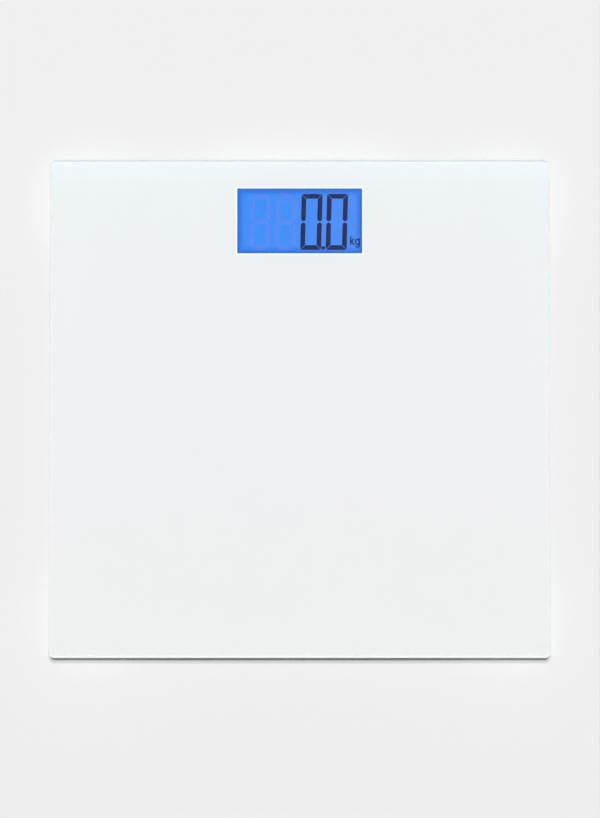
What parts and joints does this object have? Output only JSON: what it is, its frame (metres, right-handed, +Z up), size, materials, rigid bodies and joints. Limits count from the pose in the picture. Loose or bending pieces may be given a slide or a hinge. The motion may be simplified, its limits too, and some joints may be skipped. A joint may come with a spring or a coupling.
{
  "type": "digital bathroom scale",
  "caption": "Square glass-topped digital bathroom scale with a blue-lit display near the far edge, loosely held weighing feet, a hinged battery door and a unit button underneath.",
  "frame": {"origin": "middle of the plane that the four rubber pads stand on, under the centre of the platform", "axes": "+Z up, +Y from the front edge to the display edge, +X to the right of a person who stands at the front edge and reads the display"},
  "size_m": [0.3, 0.3, 0.023],
  "materials": {
    "clear_glass": "polished, with ground and polished edges",
    "white_enamel": "smooth fired enamel, seen through the glass",
    "foam_tape": "white foam tape",
    "case_plastic": "finely textured moulded ABS",
    "duct_plastic": "smooth extruded ABS",
    "foot_plastic": "finely textured moulded ABS",
    "pad_rubber": "matt moulded rubber",
    "cell_steel": "stamped alloy steel, nickel plated",
    "screw_steel": "zinc plated",
    "cell_sleeve": "shrink sleeve on a steel can, unprinted",
    "nickel_plate": "nickel-plated spring steel",
    "polariser_film": "smooth film",
    "display_glass": "polished",
    "segment_ink": "liquid crystal, switched dark",
    "light_guide": "clear acrylic lit blue from its ends",
    "reflector_film": "white film",
    "lamp_resin": "clear resin over a blue lamp",
    "connector_rubber": "layered conductive rubber",
    "board_laminate": "solder mask on glass laminate",
    "black_resin": "cast resin",
    "part_ceramic": "fired chip parts",
    "switch_plastic": "moulded",
    "button_plastic": "finely textured moulding",
    "red_insulation": "extruded PVC",
    "black_insulation": "extruded PVC",
    "white_insulation": "extruded PVC",
    "white_silicone": "cured silicone"
  },
  "bodies": {
    "platform": {"glass_platform": "clear_glass", "back_coat": "white_enamel", "case_tape": "foam_tape", "foot_tapes": "foam_tape", "upper_case": "case_plastic", "lower_case": "case_plastic", "case_screws": "screw_steel", "board_screws": "screw_steel", "battery_rear": "cell_sleeve", "battery_front": "cell_sleeve", "positive_contact": "nickel_plate", "negative_contact": "nickel_plate", "bridge_contact": "nickel_plate", "negative_spring": "nickel_plate", "bridge_spring": "nickel_plate", "lcd_front_polariser": "polariser_film", "lcd_rear_polariser": "polariser_film", "lcd_front_glass": "display_glass", "lcd_rear_glass": "display_glass", "lcd_segments": "segment_ink", "backlight_guide": "light_guide", "backlight_reflector": "reflector_film", "backlight_leds": "lamp_resin", "zebra_strip": "connector_rubber", "main_board": "board_laminate", "chip_blob": "black_resin", "chip_parts": "part_ceramic", "switch_body": "switch_plastic", "battery_lead_red": "red_insulation", "cell_wires_red": "red_insulation", "battery_lead_black": "black_insulation", "cell_wires_black": "black_insulation", "cell_wires_white": "white_insulation", "gauge_coats": "white_silicone", "foot_housing_front_left": "foot_plastic", "load_cell_front_left": "cell_steel", "wire_duct_front_left": "duct_plastic", "foot_housing_front_right": "foot_plastic", "load_cell_front_right": "cell_steel", "wire_duct_front_right": "duct_plastic", "foot_housing_rear_left": "foot_plastic", "load_cell_rear_left": "cell_steel", "wire_duct_rear_left": "duct_plastic", "foot_housing_rear_right": "foot_plastic", "load_cell_rear_right": "cell_steel", "wire_duct_rear_right": "duct_plastic"},
    "battery_door": {"battery_door": "case_plastic", "door_latch": "case_plastic"},
    "unit_button": {"unit_button": "button_plastic", "switch_plunger": "switch_plastic"},
    "foot_front_left": {"foot_cap_front_left": "foot_plastic", "foot_pad_front_left": "pad_rubber"},
    "foot_front_right": {"foot_cap_front_right": "foot_plastic", "foot_pad_front_right": "pad_rubber"},
    "foot_rear_left": {"foot_cap_rear_left": "foot_plastic", "foot_pad_rear_left": "pad_rubber"},
    "foot_rear_right": {"foot_cap_rear_right": "foot_plastic", "foot_pad_rear_right": "pad_rubber"}
  },
  "joints": [
    {"name": "foot_front_left_drop", "type": "slide", "parent": "platform", "child": "foot_front_left", "axis": [0, 0, 1], "range_m": [-0.0003, 0]},
    {"name": "foot_front_right_drop", "type": "slide", "parent": "platform", "child": "foot_front_right", "axis": [0, 0, 1], "range_m": [-0.0003, 0]},
    {"name": "foot_rear_left_drop", "type": "slide", "parent": "platform", "child": "foot_rear_left", "axis": [0, 0, 1], "range_m": [-0.0003, 0]},
    {"name": "foot_rear_right_drop", "type": "slide", "parent": "platform", "child": "foot_rear_right", "axis": [0, 0, 1], "range_m": [-0.0003, 0]},
    {"name": "battery_door_swing", "type": "hinge", "parent": "platform", "child": "battery_door", "pos_m": [0.0268, 0.0742, 0.0039], "axis": [0, -1, 0], "range_deg": [0, 95], "deforming": ["door_latch"]},
    {"name": "unit_button_press", "type": "slide", "parent": "platform", "child": "unit_button", "axis": [0, 0, 1], "range_m": [0, 0.0005], "stiffness_N_per_m": 3000}
  ]
}
